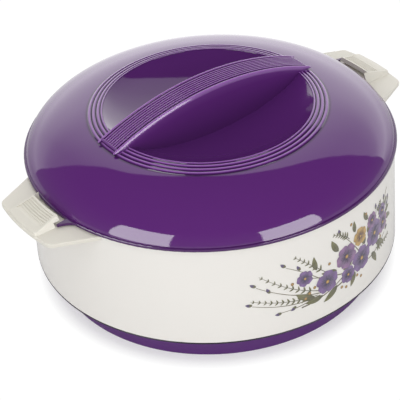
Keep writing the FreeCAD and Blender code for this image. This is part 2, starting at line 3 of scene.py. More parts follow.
import bmesh
import bpy
from mathutils import Matrix, Vector


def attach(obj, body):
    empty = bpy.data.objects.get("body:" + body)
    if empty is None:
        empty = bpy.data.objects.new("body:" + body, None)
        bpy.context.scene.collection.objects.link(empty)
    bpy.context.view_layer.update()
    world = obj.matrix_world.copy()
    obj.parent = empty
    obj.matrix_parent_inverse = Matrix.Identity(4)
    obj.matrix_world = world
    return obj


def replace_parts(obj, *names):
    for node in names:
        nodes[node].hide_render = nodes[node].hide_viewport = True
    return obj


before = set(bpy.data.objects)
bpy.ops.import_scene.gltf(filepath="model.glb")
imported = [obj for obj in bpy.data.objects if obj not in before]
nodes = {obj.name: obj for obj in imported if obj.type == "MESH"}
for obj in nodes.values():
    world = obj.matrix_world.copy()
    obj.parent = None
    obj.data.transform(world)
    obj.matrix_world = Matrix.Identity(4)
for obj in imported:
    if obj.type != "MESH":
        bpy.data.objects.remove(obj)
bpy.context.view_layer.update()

# Looks of an insulated casserole: glossy violet lid, cream casing with a flower print, stone grey handles.
# Metres, +Z up, the foot on z = 0, the front towards -Y.

millimetre = 0.001
print("frame loaded,", len(nodes), "nodes")


# Shader wires

class Wire:
    # a value, colour or vector on its way through the nodes of one material
    def __init__(self, tree, socket=None):
        self.tree = tree
        self.socket = socket

    def add(self, kind, settings=None, inputs=None, output=0):
        node = self.tree.nodes.new(kind)
        for name, value in (settings or {}).items():
            if name == "stops":
                fillRamp(node.color_ramp, value)
            else:
                setattr(node, name, value)
        for name, value in (inputs or {}).items():
            if isinstance(value, Wire):
                self.tree.links.new(value.socket, node.inputs[name])
            else:
                node.inputs[name].default_value = value
        return Wire(self.tree, node.outputs[output] if node.outputs else None)

    def math(self, operation, *values):
        return self.add("ShaderNodeMath", {"operation": operation}, dict(enumerate(values)))

    def __add__(self, other):
        return self.math("ADD", self, other)

    def __radd__(self, other):
        return self.math("ADD", other, self)

    def __mul__(self, other):
        return self.math("MULTIPLY", self, other)

    def __rmul__(self, other):
        return self.math("MULTIPLY", other, self)

    def object(self):
        return self.add("ShaderNodeTexCoord", output="Object")

    def axis(self, name):
        return self.add("ShaderNodeSeparateXYZ", inputs={"Vector": self}, output=name)

    def stretch(self, scale):
        return self.add("ShaderNodeMapping", inputs={"Vector": self, "Scale": scale})

    def noise(self, scale, detail, roughness=0.5):
        return self.add("ShaderNodeTexNoise", inputs={"Vector": self, "Scale": scale, "Detail": detail,
                                                      "Roughness": roughness})

    def ramp(self, *stops):
        return self.add("ShaderNodeValToRGB", {"stops": stops}, {"Fac": self})

    def spread(self, low, high):
        # this value, 0 to 1, run from low to high
        return self.between(0.0, 1.0, low, high)

    def between(self, start, end, low, high):
        # this value, from start to end, run from low to high
        return self.add("ShaderNodeMapRange", inputs={"Value": self, "From Min": start, "From Max": end,
                                                      "To Min": low, "To Max": high})

    def blend(self, first, second):
        # two colours mixed by this value
        return self.add("ShaderNodeMix", {"data_type": "RGBA"}, {"Factor": self, 6: first, 7: second}, 2)

    def bump(self, height):
        return self.add("ShaderNodeBump", inputs={"Height": self, "Distance": height})


def fillRamp(ramp, stops):
    while len(ramp.elements) < len(stops):
        ramp.elements.new(1.0)
    for element, (place, colour) in zip(ramp.elements, stops):
        element.position = place
        element.color = colour


def paint(red, green, blue):
    # a colour as it shows on a screen, 0 to 255, in the shader's own linear scale
    def linear(value):
        share = value / 255
        return share / 12.92 if share <= 0.04045 else ((share + 0.055) / 1.055) ** 2.4
    return linear(red), linear(green), linear(blue), 1.0


def shade(colour, factor):
    return tuple(channel * factor for channel in colour[:3]) + (1.0,)


def newMaterial(name):
    material = bpy.data.materials.new(name)
    material.use_nodes = True
    material.node_tree.nodes.clear()
    return material, Wire(material.node_tree)


def finishMaterial(wire, colour, **inputs):
    surface = wire.add("ShaderNodeBsdfPrincipled", inputs={"Base Color": colour, **inputs})
    wire.add("ShaderNodeOutputMaterial", inputs={"Surface": surface})


def finishGlow(wire, strength):
    light = wire.add("ShaderNodeEmission", inputs={"Strength": strength})
    wire.add("ShaderNodeOutputMaterial", inputs={"Surface": light})


# Moulded plastics

# colour, factor of its darker clouds, range of roughness, and height of the skin's bump; "rim" is the colour
# above "rimLevel", in metres, a near-black painted shade; a hollow colour is painted shade, a crest colour a
# painted highlight
plastics = {
    "violetGloss": {"colour": paint(91, 41, 114), "dark": 0.94, "gloss": (0.035, 0.06), "skin": 0.000004},
    # painted light: a hollow colour of painted shade and a crest colour of painted highlight, laid on by the
    # painted light attribute
    "violetPaintedLight": {"colour": paint(91, 41, 114), "dark": 0.94, "gloss": (0.035, 0.06), "skin": 0.000004,
                     "hollow": paint(50, 18, 66), "crest": paint(150, 102, 174)},
    # its rim colour is painted shade, near black, on the base's flange under the casing's edge
    "violetSatin": {"colour": paint(94, 46, 121), "dark": 0.92, "gloss": (0.16, 0.24), "skin": 0.00001,
                    "rim": paint(30, 12, 44), "rimLevel": 0.0199},
    # a darker copy of the lid's violet, painted shade on the rim ring under the dome's edge
    "violetShadedRim": {"colour": paint(74, 31, 93), "dark": 0.94, "gloss": (0.05, 0.08), "skin": 0.000004},
    "creamGloss": {"colour": paint(232, 229, 224), "dark": 0.975, "gloss": (0.07, 0.11), "skin": 0.000006},
    "stoneSatin": {"colour": paint(221, 217, 206), "dark": 0.965, "gloss": (0.44, 0.52), "skin": 0.000012},
    "collarSatin": {"colour": paint(228, 225, 217), "dark": 0.97, "gloss": (0.3, 0.4), "skin": 0.000012},
    "plugMatt": {"colour": paint(78, 72, 84), "dark": 0.9, "gloss": (0.4, 0.5), "skin": 0.00002},
}
# scale, detail and roughness of each noise
plasticNoise = {"cloud": (11.0, 3.0), "flow": (45.0, 4.0, 0.6), "grain": (1900.0, 2.0)}
flowStretch = (1.0, 1.0, 3.0)
# the painted light of a piece, an attribute, runs from 0, painted shade in a hollow, over this on plain
# faces where nothing is painted, to 1, a painted highlight on a crest
unpaintedLight = 0.5


def plastic(name):
    looks = plastics[name]
    material, wire = newMaterial(name)
    place = wire.object()
    cloud = place.noise(*plasticNoise["cloud"])
    flow = place.stretch(flowStretch).noise(*plasticNoise["flow"])
    grain = place.noise(*plasticNoise["grain"])
    colour = cloud.blend(shade(looks["colour"], looks["dark"]), looks["colour"])
    # painted shade towards 0 of the attribute, a painted highlight towards 1
    if "crest" in looks:
        relief = wire.add("ShaderNodeAttribute", {"attribute_name": "relief"}, output="Fac")
        colour = relief.between(0.0, unpaintedLight, 0.0, 1.0).blend(looks["hollow"], colour)
        colour = relief.between(unpaintedLight, 1.0, 0.0, 1.0).blend(colour, looks["crest"])
    # painted shade: near black above the rim level
    if "rim" in looks:
        colour = wire.math("GREATER_THAN", place.axis("Z"), looks["rimLevel"]).blend(colour, looks["rim"])
    finishMaterial(wire, colour, Roughness=flow.spread(*looks["gloss"]), Normal=grain.bump(looks["skin"]))
    return material


# Metals, foam and rubber, with the scale, detail and roughness of each noise

steelLooks = {"bright": paint(206, 207, 208), "dull": paint(176, 177, 179), "rings": (900.0, 3.0, 0.7),
              "cloud": (9.0, 3.0), "gloss": (0.16, 0.28), "groove": 0.00002}
foamLooks = {"pale": paint(232, 214, 160), "deep": paint(196, 168, 104), "cloud": (60.0, 4.0, 0.6),
             "gloss": 0.9, "cell": 420.0, "pit": 0.0005}
grained = {
    "zinc": {"pale": paint(196, 198, 200), "deep": paint(150, 150, 152), "grain": (700.0, 3.0, 0.6),
             "gloss": (0.25, 0.45), "skin": 0.00001, "metal": 1.0},
    "rubber": {"pale": paint(206, 205, 204), "deep": paint(190, 189, 190), "grain": (500.0, 3.0),
               "gloss": (0.45, 0.6), "skin": 0.00002, "metal": 0.0},
}


def spunSteel():
    # fine rings turned about the axis, on the floor and on the wall alike
    material, wire = newMaterial("spunSteel")
    place = wire.object()
    x, y, z = (place.axis(name) for name in "XYZ")
    along = wire.add("ShaderNodeCombineXYZ", inputs={"X": wire.math("SQRT", x * x + y * y), "Y": z})
    rings = along.noise(*steelLooks["rings"])
    cloud = place.noise(*steelLooks["cloud"])
    finishMaterial(wire, rings.blend(steelLooks["dull"], steelLooks["bright"]), Metallic=1.0,
                   Roughness=cloud.spread(*steelLooks["gloss"]), Normal=rings.bump(steelLooks["groove"]))
    return material


def foam():
    material, wire = newMaterial("foam")
    place = wire.object()
    cells = wire.add("ShaderNodeTexVoronoi", inputs={"Vector": place, "Scale": foamLooks["cell"]})
    cloud = place.noise(*foamLooks["cloud"])
    finishMaterial(wire, cloud.blend(foamLooks["deep"], foamLooks["pale"]), Roughness=foamLooks["gloss"],
                   Normal=cells.bump(foamLooks["pit"]))
    return material


def grainedFinish(name):
    # one fine grain for the colour, the gloss and the skin
    looks = grained[name]
    material, wire = newMaterial(name)
    grain = wire.object().noise(*looks["grain"])
    finishMaterial(wire, grain.blend(looks["deep"], looks["pale"]), Metallic=looks["metal"],
                   Roughness=grain.spread(*looks["gloss"]), Normal=grain.bump(looks["skin"]))
    return material


finishes = {name: plastic(name) for name in plastics}
finishes.update({name: grainedFinish(name) for name in grained})
finishes.update({"spunSteel": spunSteel(), "foam": foam()})
print("finishes ready,", len(finishes))

nodeFinishes = {
    "outer_casing": "creamGloss",
    "handle_right": "stoneSatin",
    "handle_left": "stoneSatin",
    "handle_screws": "zinc",
    "top_collar": "collarSatin",
    "inner_bowl": "spunSteel",
    "body_insulation": "foam",
    "base_cover": "violetSatin",
    "base_screws": "zinc",
    "fill_plug": "plugMatt",
    "lid_cover": "violetGloss",
    "lid_grip": "violetGloss",
    "grip_screws": "zinc",
    "lid_rim_ring": "violetShadedRim",
    "lid_liner": "spunSteel",
    "lid_insulation": "foam",
    "lid_seal": "rubber",
}
for nodeName, finish in nodeFinishes.items():
    slots = nodes[nodeName].data.materials
    slots.clear()
    slots.append(finishes[finish])


# New pieces

mergeReach = 0.0001
creaseAngle = math.radians(35)


def newObject(name, data):
    thing = bpy.data.objects.new(name, data)
    bpy.context.scene.collection.objects.link(thing)
    return thing


def fromMesh(mesh, name, material):
    # the finished mesh as an object at the origin
    piece = newObject(name, bpy.data.meshes.new(name))
    mesh.to_mesh(piece.data)
    mesh.free()
    piece.data.materials.append(material)
    return piece


def newPiece(mesh, name, body, finish):
    # the mesh in millimetres becomes a piece in metres, smooth but for its creases
    bmesh.ops.scale(mesh, vec=(millimetre,) * 3, verts=mesh.verts[:])
    bmesh.ops.recalc_face_normals(mesh, faces=mesh.faces[:])
    for face in mesh.faces:
        face.smooth = True
    piece = fromMesh(mesh, name, finishes[finish])
    piece.data.set_sharp_from_angle(angle=creaseAngle)
    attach(piece, body)
    return piece


# Lid cover, millimetres

coverShape = {
    "edgeRadius": 123.6,
    "edgeLevel": 95.85,
    "tuck": 3.55,               # the dome's curve starts this far above its widest level
    "centreRadius": 70.0,
    "rise": 27.4,
    "wall": 2.5,
    "landRadius": 80.3,
    "ringRise": 2.1,
    "beads": (2.95, 2.95, 2.95, 1.75),      # their widths, from the outermost
    "beadHeight": 0.85,
    "wellRadius": 69.7,
    "wellDepth": 14.2,
    "wellSpread": 6.3,
    "domeSteps": 40,
    "beadSteps": 8,
    "wellSteps": 28,
    "turns": 256,
    "wallSteps": (16, 12),      # of the underside, along the dome and the well
    "slack": 0.1,               # a point this little outside the ring or the well counts as in it
    "crestPower": 3.2,          # how close to a bead's crest its painted highlight sets in
    "wellShade": 0.36,           # painted shade of the well's face
}
domeLevel = coverShape["edgeLevel"] - coverShape["tuck"]
domeReach = ((coverShape["edgeRadius"] - coverShape["centreRadius"])
             / math.sqrt(1 - (coverShape["tuck"] / coverShape["rise"]) ** 2))
landShare = (coverShape["landRadius"] - coverShape["centreRadius"]) / domeReach
landLevel = domeLevel + coverShape["rise"] * math.sqrt(1 - landShare ** 2)
mouthLevel = landLevel + coverShape["ringRise"]
wellReach = coverShape["wellRadius"] + coverShape["wellSpread"]
wellDrop = coverShape["wellDepth"] / (1 - math.sqrt(1 - (coverShape["wellRadius"] / wellReach) ** 2))
wellCentre = mouthLevel - coverShape["wellDepth"] + wellDrop


def domeLine(depth, steps):
    # radius and level along the dome, at a depth under its skin, from the edge to the ring
    reach, rise = domeReach - depth, coverShape["rise"] - depth
    low, high = math.asin(coverShape["tuck"] / rise), math.asin((landLevel - depth - domeLevel) / rise)
    for step in range(steps + 1):
        angle = low + (high - low) * step / steps
        yield coverShape["centreRadius"] + reach * math.cos(angle), domeLevel + rise * math.sin(angle)


def ringLevel(radius):
    share = (coverShape["landRadius"] - radius) / (coverShape["landRadius"] - coverShape["wellRadius"])
    return landLevel + coverShape["ringRise"] * share


def beadLine(steps):
    # half-round beads side by side, from the foot of the ring to the well's mouth
    outside, height = coverShape["landRadius"], coverShape["beadHeight"]
    for width in coverShape["beads"]:
        bend = (0.25 * width * width + height * height) / (2 * height)
        half = math.asin(0.5 * width / bend)
        for step in range(1, steps + 1):
            angle = half * (1 - 2 * step / steps)
            radius = outside - 0.5 * width + bend * math.sin(angle)
            yield radius, ringLevel(radius) + height - bend * (1 - math.cos(angle))
        outside -= width


def wellLine(depth, first, steps):
    # from the mouth to the axis, without the points before the first
    reach, drop = wellReach + depth, wellDrop + depth
    start = math.acos((wellCentre - mouthLevel + depth) / drop)
    for step in range(first, steps + 1):
        angle = start * (1 - step / steps)
        yield reach * math.sin(angle), wellCentre - drop * math.cos(angle)


def skinLevel(radius):
    # the cover's upper face, its beads left out
    if radius > coverShape["landRadius"]:
        share = (radius - coverShape["centreRadius"]) / domeReach
        return domeLevel + coverShape["rise"] * math.sqrt(1 - share * share)
    if radius > coverShape["wellRadius"]:
        return ringLevel(radius)
    return wellCentre - wellDrop * math.sqrt(1 - (radius / wellReach) ** 2)


# painted light of the cover: painted shade in the grooves between the ring's beads and over the well, a
# painted highlight on the beads' crests, nothing on the dome
def coverRelief(radius, level):
    if radius > coverShape["landRadius"] + coverShape["slack"]:
        return unpaintedLight
    if radius > coverShape["wellRadius"] + coverShape["slack"]:
        share = (level - ringLevel(radius)) / coverShape["beadHeight"]
        return min(max(share, 0.0), 1.0) ** coverShape["crestPower"]
    return coverShape["wellShade"]


def domeCover():
    depth, (domeSteps, wellSteps) = coverShape["wall"], coverShape["wallSteps"]
    upper = list(domeLine(0, coverShape["domeSteps"])) + list(beadLine(coverShape["beadSteps"]))
    upper += list(wellLine(0, 1, coverShape["wellSteps"]))
    under = list(domeLine(depth, domeSteps)) + list(wellLine(depth, 0, wellSteps))
    mesh = bmesh.new()
    verts = [mesh.verts.new((radius, 0, level)) for radius, level in upper + under[::-1]]
    edges = [mesh.edges.new(pair) for pair in zip(verts, verts[1:] + verts[:1])]
    axis = edges.pop(len(upper) - 1)
    mesh.edges.remove(axis)
    bmesh.ops.spin(mesh, geom=verts + edges, cent=(0, 0, 0), axis=(0, 0, 1), angle=2 * math.pi,
                   steps=coverShape["turns"], use_merge=True)
    bmesh.ops.remove_doubles(mesh, verts=mesh.verts[:], dist=mergeReach)
    relief = mesh.verts.layers.float.new("relief")
    for vert in mesh.verts:
        vert[relief] = coverRelief(vert.co.xy.length, vert.co.z)
    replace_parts(newPiece(mesh, "domeCover", "lid", "violetPaintedLight"), "lid_cover")


domeCover()


# Grip, millimetres

gripShape = {
    "width": 19.8,
    "halfLength": 78.9,
    "rise": 16.6,
    "endHeight": 1.2,           # end of the arch above the well's mouth
    "draft": 6.5,               # degrees
    "ribs": 7,
    "ribPitch": 2.04,
    "ribWidth": 1.35,
    "ribHeight": 0.8,
    "edgeWidth": 1.8,
    "edgeHeight": 0.9,
    "tail": 2.4,
    "tip": 1.2,                 # rounding of a rib's ends
    "shoulder": 1.4,            # the edge bead's crest to the side wall
    "shoulderDrop": 3.6,
    "shoulderRun": 9.0,         # along which the shoulder comes up to its height
    "sink": 0.3,                # into what carries it
    "stations": 120,
    "tipLeast": 0.02,           # square of a bead's least fullness, at its tips
    "ribSteps": 8,
    "ribFootShade": 0.25,        # painted shade at a rib's foot
    "crownSteps": 5,            # across an edge bead, from its inner foot to its crest
    # painted shade at an edge bead's inner foot
    "crownFootShade": 0.4,
    "flankSteps": 8,
    "flankStep": 10,            # degrees
    "wallStart": 0.75,          # share of the shoulder's drop at which the side wall starts
    "wallLeast": 0.1,
    "wallSteps": 5,
    "wallHighlightAndShade": (0.56, 0.26),  # painted light at its head, a little over plain, and painted shade at its foot
    "wallRounds": 6,            # of nearing the depth at which it meets the cover
    "endSides": 20,
    # a painted highlight on the end beads, a little over plain
    "endHighlight": 0.6,
}
archRadius = (gripShape["halfLength"] ** 2 + gripShape["rise"] ** 2) / (2 * gripShape["rise"])
archCentre = mouthLevel + gripShape["endHeight"] + gripShape["rise"] - archRadius
archTop = archRadius - gripShape["edgeHeight"]


def archPoint(along, across, height):
    # along the arch from its middle, across it, and above the bar's top
    angle, radius = along / archRadius, archTop + height
    return Vector((radius * math.sin(angle), across, archCentre + radius * math.cos(angle)))


def archLength(halfLength):
    return archRadius * math.asin(halfLength / archRadius)


def looped(mesh, stations, section, place):
    # a tube whose section is a closed loop of points, open at both ends; a point's last value is its painted
    # light
    relief = mesh.verts.layers.float["relief"]
    verts = bmesh.ops.create_grid(mesh, x_segments=stations, y_segments=len(section), size=0.5)["verts"]
    for vert in verts:
        point = section[round((vert.co.y + 0.5) * len(section)) % len(section)]
        vert.co = place(2 * vert.co.x, point)
        vert[relief] = point[-1]
    bmesh.ops.remove_doubles(mesh, verts=verts, dist=mergeReach)


def fromEnds(along, reach, length):
    # 0 at the arch's ends, 1 from a length inside them on
    return min(max(reach - abs(along), 0.0) / length, 1.0)


def beadStation(share, reach):
    # place along a bead, whose stations crowd at its ends, and how full its section is there
    along = reach * math.sin(0.5 * math.pi * share)
    missing = 1 - fromEnds(along, reach, gripShape["tip"])
    return along, math.sqrt(max(1 - missing ** 2, gripShape["tipLeast"]))


def gripRib(mesh, middle):
    reach, steps, foot = archLength(gripShape["halfLength"]), gripShape["ribSteps"], gripShape["ribFootShade"]
    width, height = 0.5 * gripShape["ribWidth"], gripShape["ribHeight"]
    # painted shade at the rib's foot, rising to a painted highlight on its crest
    section = [(-1.0, -1.0, foot)]
    for step in range(steps + 1):
        turn = math.pi * step / steps
        section.append((-math.cos(turn), math.sin(turn), foot + (1 - foot) * math.sin(turn) ** 2))
    section.append((1.0, -1.0, foot))

    def place(share, point):
        along, full = beadStation(share, reach)
        return archPoint(along, middle + width * point[0] * full, height * point[1] * full)

    looped(mesh, gripShape["stations"], section, place)


def gripEdge(mesh, side):
    # bead along one edge, whose outer flank runs down as the bar's shoulder
    reach = archLength(gripShape["halfLength"] + gripShape["tail"])
    half, height = 0.5 * gripShape["edgeWidth"], gripShape["edgeHeight"]
    middle = 0.5 * gripShape["width"] - half
    foot = gripShape["crownFootShade"]
    # full painted shade at the bead's inner foot, a painted highlight on its crest, back to plain down the
    # flank
    section = [(-half, -1.0, False, 0.0)]
    for step in range(gripShape["crownSteps"] + 1):
        turn = 0.5 * math.pi * (step / gripShape["crownSteps"] - 1)
        tone = foot + (1 - foot) * math.cos(turn)
        section.append((half * math.sin(turn), height * math.cos(turn), False, tone))
    for step in range(1, gripShape["flankSteps"] + 1):
        turn = math.radians(gripShape["flankStep"] * step)
        tone = unpaintedLight + (1 - unpaintedLight) * math.cos(turn)
        section.append((math.sin(turn), 1 - math.cos(turn), True, tone))

    def place(share, point):
        along, full = beadStation(share, reach)
        across, level, isFlank, _ = point
        if isFlank:
            grown = fromEnds(along, reach, gripShape["shoulderRun"])
            across *= half + (gripShape["shoulder"] - half) * grown
            level = height - level * (height + (gripShape["shoulderDrop"] - height) * grown)
        return archPoint(along, side * (middle + across * full), level * full)

    looped(mesh, gripShape["stations"], section, place)


def gripBody(mesh):
    # the bar's flat top and its two side walls, which run down into the cover
    reach, inside = archLength(gripShape["halfLength"]), 0.5 * gripShape["width"] - gripShape["edgeWidth"]
    half = 0.5 * (gripShape["width"] - gripShape["edgeWidth"]) + gripShape["shoulder"]
    lean = math.tan(math.radians(gripShape["draft"]))
    top = gripShape["wallStart"] * gripShape["shoulderDrop"] - gripShape["edgeHeight"]
    steps, (head, foot) = gripShape["wallSteps"], gripShape["wallHighlightAndShade"]
    # share of the wall's depth, which is negative on the top, and painted light, full painted shade on the
    # top
    wall = [(-1, 0.0)] + [(step / steps, head + (foot - head) * step / steps) for step in range(steps + 1)]
    section = [(-1, *point) for point in wall[::-1]] + [(1, *point) for point in wall]

    def place(share, point):
        side, part, _ = point
        if part < 0:
            return archPoint(reach * share, side * inside, 0.0)
        depth = top
        for _ in range(gripShape["wallRounds"]):
            low = archPoint(reach * share, side * (half + (depth - top) * lean), -depth)
            depth += low.z - skinLevel(low.xy.length) + gripShape["sink"]
        depth = top + (max(depth, top + gripShape["wallLeast"]) - top) * part
        return archPoint(reach * share, side * (half + (depth - top) * lean), -depth)

    looped(mesh, gripShape["stations"], section, place)


def gripEnd(mesh, side):
    # bead across one end of the bar
    relief = mesh.verts.layers.float["relief"]
    size, length = gripShape["edgeHeight"], gripShape["width"] - gripShape["edgeWidth"]
    middle = archPoint(side * (archLength(gripShape["halfLength"]) - size), 0, 0)
    bead = bmesh.ops.create_cone(mesh, cap_ends=True, segments=gripShape["endSides"], radius1=size,
                                 radius2=size, depth=length)["verts"]
    bmesh.ops.rotate(mesh, verts=bead, cent=(0, 0, 0), matrix=Matrix.Rotation(0.5 * math.pi, 3, "X"))
    bmesh.ops.translate(mesh, verts=bead, vec=middle)
    # painted highlight, a little over plain, on the whole bead
    for vert in bead:
        vert[relief] = gripShape["endHighlight"]


def gripBar():
    mesh = bmesh.new()
    mesh.verts.layers.float.new("relief")
    gripBody(mesh)
    for rib in range(gripShape["ribs"]):
        gripRib(mesh, (rib - 0.5 * (gripShape["ribs"] - 1)) * gripShape["ribPitch"])
    for side in (-1, 1):
        gripEdge(mesh, side)
    bmesh.ops.holes_fill(mesh, edges=[rim for rim in mesh.edges if rim.is_boundary], sides=0)
    for side in (-1, 1):
        gripEnd(mesh, side)
    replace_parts(newPiece(mesh, "gripBar", "lid", "violetPaintedLight"), "lid_grip")


gripBar()
print("lid cover and grip ready")


# Flower print on the casing

printPlace = {
    "middle": math.radians(-86.6),      # of the print, from +X
    "level": 0.0312,                    # its lowest line
    "thick": 0.00006,
    "lift": 0.00002,                    # of the lowest layer over the casing
    "layer": 0.000015,
    "endBand": 0.1,                     # share of the casing's height in which its end rings lie
}
printTones = {
    "petalDeep": paint(44, 24, 74), "petalPale": paint(124, 88, 152), "petalRose": paint(146, 100, 152),
    "petalGold": paint(202, 164, 82), "petalBrown": paint(112, 74, 34), "bud": paint(36, 26, 62),
    "budPale": paint(84, 62, 118), "heart": paint(216, 174, 76), "heartDeep": paint(132, 88, 36),
    "sage": paint(118, 116, 62), "olive": paint(58, 58, 24), "twig": paint(74, 64, 36),
    "twigPale": paint(118, 110, 74), "berry": paint(190, 152, 72), "berryDeep": paint(120, 82, 34),
}
inkNoise = {"wash": (260.0, 4.0, 0.65), "speck": (900.0, 2.0)}
inkWash = (0.0, 0.2)
inkGloss = (0.06, 0.12)
# layer over the casing, cells along and across, and tones of foot and tip where a kind has its own
strips = {
    "stem": (0, 14, 1, "twig", "twigPale"),
    "leaf": (1, 10, 2, "olive", "sage"),
    "leafRib": (4, 8, 1, "olive", "olive"),
    "frond": (2, 12, 1, "olive", "twigPale"),
    "leaflet": (3, 5, 2, "olive", "sage"),
    "bud": (4, 6, 2, "bud", "budPale"),
    "calyx": (5, 4, 2, "olive", "sage"),
    "petal": (5, 8, 4),
    "vein": (10, 4, 1),
}
# layer over the casing, tones of middle and rim
spots = {"berry": (4, "berry", "berryDeep"), "heart": (16, "heart", "heartDeep")}
# millimetres and degrees; veins and hearts are shares of their flower, a leaflet's width of its length
plants = {
    "petals": 5,
    "petalSag": 0.05,
    "veinTurns": (-16, 0, 16),
    "veinLength": 0.6,
    "veinWidth": 0.07,
    "heart": 0.16,
    "leafSag": 0.12,
    "leafRib": 0.35,
    "frond": 0.5,
    "frondStart": 0.2,          # share of the frond at its first pair of leaflets
    "frondRun": 0.75,           # and from there to its last
    "leaflet": 4.6,
    "leafletFade": 0.6,
    "leafletTurn": 48,
    "leafletSag": 0.1,
    "leafletWidth": 0.3,
    "bud": (4.6, 2.3),
    "calyx": (2.4, 0.9),
    "calyxTurn": 24,
    "berry": 1.15,
    "spotSides": 14,
    "rimInk": 0.35,             # how much of the foot's tone stays along a strip's rims
    "stripStep": 0.01,          # share of a spine over which its heading is taken
    "frondStep": 0.02,
}
# middle along the casing and up, radius, turn, tone: in millimetres and degrees
violets = ((-10, 17, 8.4, 10, "petalPale"), (7, 28, 8.8, 44, "petalRose"), (8, 13, 6.2, 60, "petalPale"),
           (22, 18, 9.2, 80, "petalPale"), (21, 36, 6.6, 20, "petalGold"), (38, 28, 9.4, 58, "petalPale"),
           (51, 28, 7.2, 15, "petalRose"), (50, 38, 5.2, 5, "petalPale"), (-27, 27, 5.8, 30, "petalPale"),
           (35, 40, 5.6, 50, "petalRose"))
# start, bend, end and width of the stems, millimetres
stems = (((-30, 5), (0, 6), (26, 30), 1.0), ((-6, 8), (22, 12), (60, 50), 1.1),
         ((4, 16), (-14, 22), (-27, 27), 0.8), ((-12, 10), (-34, 14), (-60, 30), 0.7),
         ((-16, 9), (-38, 8), (-63, 16), 0.7), ((20, 24), (10, 40), (2, 47), 0.7),
         ((34, 28), (42, 38), (41, 45), 0.7), ((48, 30), (58, 32), (61, 39), 0.8),
         ((30, 12), (42, 12), (54, 18), 0.7), ((-20, 9), (-30, 6), (-44, 6), 0.7),
         ((50, 36), (54, 39), (54, 44), 0.7), ((-8, 14), (-22, 30), (-40, 40), 0.6))
# foot, direction in degrees, length and width of the leaves
leaves = ((-20, 9, 150, 16, 5.0), (-2, 10, 215, 14, 4.8), (0, 36, 118, 12, 4.4), (16, 42, 96, 9, 3.6),
          (14, 12, 250, 11, 4.6), (34, 14, 300, 12, 4.6), (40, 18, 330, 14, 4.8), (56, 28, 340, 11, 4.2),
          (30, 44, 120, 9, 3.8), (55, 38, 60, 7, 3.2), (-18, 30, 100, 11, 3.8), (-2, 22, 165, 13, 4.4),
          (26, 27, 100, 9, 4.4), (12, 22, 200, 9, 4.2), (30, 33, 70, 8, 4.0), (44, 18, 260, 8, 3.8),
          (-14, 8, 185, 13, 4.0), (57, 32, 20, 7, 3.2))
# start, bend and end of the fronds, and their pairs of leaflets
fronds = (((-14, 12), (-36, 20), (-58, 38), 9), ((-18, 10), (-40, 12), (-64, 20), 10),
          ((10, 40), (6, 46), (-4, 50), 6), ((44, 38), (47, 42), (47, 47), 5),
          ((40, 14), (50, 10), (61, 12), 6), ((-10, 24), (-22, 36), (-34, 46), 7))
# foot and direction in degrees
buds = ((-60, 31, 150), (-51, 24, 120), (2, 48, 110), (41, 45, 95), (61, 39, 80), (54, 44, 95),
        (55, 19, 20), (-44, 6, 185), (-34, 8, 215), (-40, 41, 140), (-63, 17, 170), (58, 36, 40),
        (43, 42, 60), (-30, 35, 120))
berries = ((-24, 14), (-20, 17), (-27, 11), (2, 6), (6, 4), (17, 7), (21, 4), (46, 22), (50, 25),
           (47, 19), (12, 50), (28, 49), (58, 29), (57, 24), (-36, 26), (-8, 30))


def casingLine():
    # the casing's outer radius and its level, at the lowest and the highest of its rings
    points = [(vert.co.xy.length, vert.co.z) for vert in nodes["outer_casing"].data.vertices]
    low, high = min(level for _, level in points), max(level for _, level in points)
    band = printPlace["endBand"] * (high - low)
    foot = max(point for point in points if point[1] < low + band)
    head = max(point for point in points if point[1] > high - band)
    return foot, head


casingFoot, casingHead = casingLine()


def onCasing(point, layer):
    # a point of the print, millimetres along the casing and up, laid on it
    level = printPlace["level"] + millimetre * point[1]
    share = (level - casingFoot[1]) / (casingHead[1] - casingFoot[1])
    radius = casingFoot[0] + share * (casingHead[0] - casingFoot[0])
    radius += printPlace["lift"] + layer * printPlace["layer"]
    angle = printPlace["middle"] + millimetre * point[0] / casingFoot[0]
    return Vector((radius * math.cos(angle), radius * math.sin(angle), level))


def mixed(first, second, share):
    return tuple(a + (b - a) * share for a, b in zip(first, second))


def heading(spine, share, ahead):
    # the step from a point of a spine to the one a share of the spine ahead
    here, there = spine(share), spine(share + ahead)
    return there.x - here.x, there.y - here.y


def strip(mesh, kind, spine, width, over=0, tones=None):
    # a flat strip that follows a spine, toned from its foot to its tip
    layer, along, across, *own = strips[kind]
    foot, tip = (printTones[tone] for tone in tones or own)
    inks = mesh.verts.layers.float_color["ink"]
    cells = bmesh.ops.create_grid(mesh, x_segments=along, y_segments=across, size=0.5)
    for vert in cells["verts"]:
        share, side = vert.co.x + 0.5, 2 * vert.co.y
        ahead, rise = heading(spine, share, plants["stripStep"])
        square = Vector((-rise, ahead)).normalized()
        vert.co = onCasing(spine(share) + square * side * 0.5 * width(share), layer + over)
        vert[inks] = mixed(foot, tip, share * (1 - plants["rimInk"] * abs(side)))


def spot(mesh, kind, middle, size):
    # a round spot, toned from its middle to its rim
    layer, inner, outer = spots[kind]
    inks = mesh.verts.layers.float_color["ink"]
    circle = bmesh.ops.create_circle(mesh, cap_ends=True, cap_tris=True, segments=plants["spotSides"],
                                     radius=size)
    for vert in circle["verts"]:
        share = vert.co.xy.length / size
        vert.co = onCasing((middle[0] + vert.co.x, middle[1] + vert.co.y), layer)
        vert[inks] = mixed(printTones[inner], printTones[outer], share)


def curve(start, bend, end):
    start, bend, end = Vector(start), Vector(bend), Vector(end)
    return lambda share: start.lerp(bend, share).lerp(bend.lerp(end, share), share)


